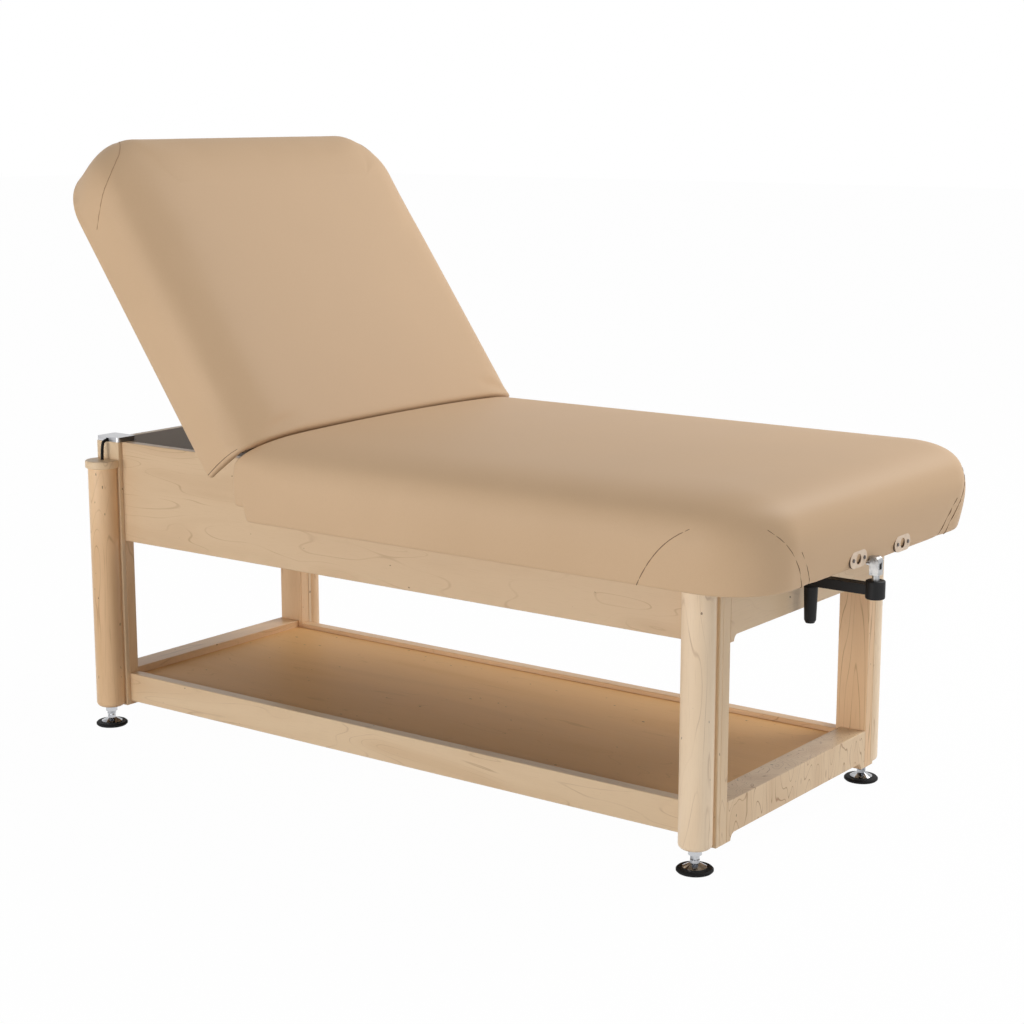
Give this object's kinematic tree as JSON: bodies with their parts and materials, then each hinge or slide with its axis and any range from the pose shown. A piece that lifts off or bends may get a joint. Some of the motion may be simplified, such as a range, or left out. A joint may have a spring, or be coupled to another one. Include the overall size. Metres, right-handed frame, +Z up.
{
  "type": "treatment table",
  "caption": "Padded treatment table with a maple frame, lower shelf, raised backrest and a hydraulic hand crank",
  "frame": {"origin": "floor level under the middle of the whole table at rest", "axes": "+X towards the foot end with the crank, +Y to the rear long side, +Z up"},
  "size_m": [1.8014, 0.902, 1.3194],
  "materials": {
    "maple": "satin clear-coated maple",
    "shelf_board": "satin brown veneer",
    "deck_board": "matt dark panel",
    "vinyl": "tan upholstery vinyl",
    "chrome": "polished",
    "rubber": "matt black",
    "aluminium": "brushed",
    "zinc_steel": "zinc plated",
    "black_enamel": "satin black",
    "black_plastic": "fine texture",
    "cream_plastic": "smooth cream"
  },
  "bodies": {
    "rams": {"lift_rams": "chrome"},
    "table_frame": {"apron_front": "maple", "apron_rear": "maple", "apron_head": "maple", "apron_foot": "maple", "post_head_front": "maple", "post_head_rear": "maple", "post_foot_front": "maple", "post_foot_rear": "maple", "column_backing_plates": "maple", "column_head_front": "maple", "column_head_rear": "maple", "column_foot_front": "maple", "column_foot_rear": "maple", "column_caps": "maple", "shelf_rail_front": "maple", "shelf_rail_rear": "maple", "shelf_rail_head": "maple", "shelf_rail_foot": "maple", "shelf_panel": "shelf_board", "head_deck": "deck_board", "hinge_rail": "maple", "lift_cylinders": "black_enamel", "lift_hoses": "rubber", "hose_covers": "aluminium", "screws": "zinc_steel", "pump_housing": "black_enamel", "pump_shaft": "zinc_steel", "knuckle_pin": "zinc_steel", "seat_deck": "deck_board", "seat_skirt_front": "vinyl", "seat_skirt_rear": "vinyl", "seat_skirt_foot": "vinyl", "seat_cushion": "vinyl", "hinge_fixed_leaves": "zinc_steel", "hinge_pins": "zinc_steel", "spring_base_bracket": "black_enamel", "accessory_sockets": "cream_plastic"},
    "backrest": {"backrest_deck": "deck_board", "backrest_cushion": "vinyl", "backrest_skirt_front": "vinyl", "backrest_skirt_rear": "vinyl", "backrest_skirt_head": "vinyl", "hinge_moving_leaves": "zinc_steel", "spring_top_bracket": "black_enamel", "lever_bracket": "black_enamel"},
    "lever": {"release_lever": "black_plastic"},
    "spring_cylinder": {"gas_spring_cylinder": "black_enamel"},
    "spring_rod": {"gas_spring_rod": "zinc_steel"},
    "fork": {"crank_fork": "zinc_steel"},
    "crank": {"crank_arm": "black_plastic"},
    "grip": {"crank_grip": "black_plastic"},
    "foot_head_front": {"foot_stem_head_front": "chrome", "foot_pad_head_front": "rubber"},
    "foot_head_rear": {"foot_stem_head_rear": "chrome", "foot_pad_head_rear": "rubber"},
    "foot_foot_front": {"foot_stem_foot_front": "chrome", "foot_pad_foot_front": "rubber"},
    "foot_foot_rear": {"foot_stem_foot_rear": "chrome", "foot_pad_foot_rear": "rubber"}
  },
  "joints": [
    {"name": "height_lift", "type": "slide", "parent": "rams", "child": "table_frame", "axis": [0, 0, 1], "range_m": [0, 0.2]},
    {"name": "crank_fold", "type": "hinge", "parent": "table_frame", "child": "fork", "pos_m": [0.88225, -0.035, 0.556], "axis": [0, -1, 0], "range_deg": [0, 90]},
    {"name": "crank_turn", "type": "hinge", "parent": "fork", "child": "crank", "pos_m": [0.88225, -0.035, 0.497], "axis": [0, 0, 1], "range_deg": [0, 9000]},
    {"name": "grip_spin", "type": "hinge", "parent": "crank", "child": "grip", "pos_m": [0.74925, -0.035, 0.45], "axis": [0, 0, 1], "continuous": true},
    {"name": "backrest_tilt", "type": "hinge", "parent": "table_frame", "child": "backrest", "pos_m": [-0.31275, 0, 0.652], "axis": [0, 1, 0], "range_deg": [-54.7, 0]},
    {"name": "spring_swing", "type": "hinge", "parent": "table_frame", "child": "spring_cylinder", "pos_m": [-0.33875, 0, 0.502], "axis": [0, 1, 0], "range_deg": [-28, 0.5]},
    {"name": "spring_slide", "type": "slide", "parent": "spring_cylinder", "child": "spring_rod", "axis": [-0.284, 0, 0.9588], "range_m": [-0.094, 0.001]},
    {"name": "release_lever_pull", "type": "hinge", "parent": "backrest", "child": "lever", "pos_m": [-0.73762, 0, 1.21745], "axis": [0, 1, 0], "range_deg": [0, 12], "stiffness_Nm_per_rad": 0.5, "springref_deg": -11.46},
    {"name": "foot_turn_head_front", "type": "hinge", "parent": "rams", "child": "foot_head_front", "pos_m": [-0.86325, -0.3284, 0.02], "axis": [0, 0, 1], "continuous": true},
    {"name": "foot_turn_head_rear", "type": "hinge", "parent": "rams", "child": "foot_head_rear", "pos_m": [-0.86325, 0.3284, 0.02], "axis": [0, 0, 1], "continuous": true},
    {"name": "foot_turn_foot_front", "type": "hinge", "parent": "rams", "child": "foot_foot_front", "pos_m": [0.68375, -0.3284, 0.02], "axis": [0, 0, 1], "continuous": true},
    {"name": "foot_turn_foot_rear", "type": "hinge", "parent": "rams", "child": "foot_foot_rear", "pos_m": [0.68375, 0.3284, 0.02], "axis": [0, 0, 1], "continuous": true}
  ],
  "couplings": [
    {"joint": "crank_turn", "follows": "height_lift", "rad_per_m": 785.4},
    {"joint": "spring_swing", "follows": "backrest_tilt", "ratio": 0.49965},
    {"joint": "spring_slide", "follows": "backrest_tilt", "m_per_rad": 0.09693}
  ]
}
